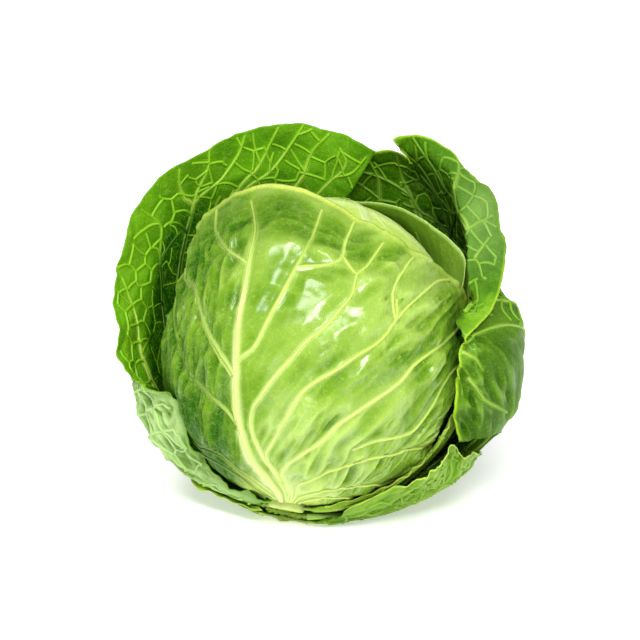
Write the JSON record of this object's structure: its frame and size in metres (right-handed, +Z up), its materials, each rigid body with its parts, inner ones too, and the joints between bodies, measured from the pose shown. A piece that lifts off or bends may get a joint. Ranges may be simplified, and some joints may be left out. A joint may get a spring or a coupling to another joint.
{
  "type": "green cabbage",
  "caption": "Round green cabbage head lying a little on its side, with ribbed wrapper leaves that flare and curl round a pale dense heart.",
  "frame": {"origin": "centre of the bounding box, on the floor that the head rests on", "axes": "+Z up, -Y towards the viewer of the pale front leaf, +X to that viewer's right, along the longest side"},
  "size_m": [0.231, 0.2005, 0.2048],
  "materials": {
    "stem": "pale cut plant flesh, matt",
    "heart": "pale yellow-green leaf with a soft wax sheen",
    "inner_leaf": "grey-green leaf with a wax bloom",
    "pale_leaf": "light green ribbed leaf, half glossy",
    "green_leaf": "mid green leaf with pale veins, half glossy"
  },
  "bodies": {
    "root": {"stem": "stem", "heart": "heart", "inner_wrapper": "inner_leaf", "front_leaf": "pale_leaf", "back_leaf": "green_leaf", "lower_right_leaf": "green_leaf", "back_left_leaf": "green_leaf", "right_leaf": "green_leaf", "under_leaf": "green_leaf"}
  },
  "joints": []
}
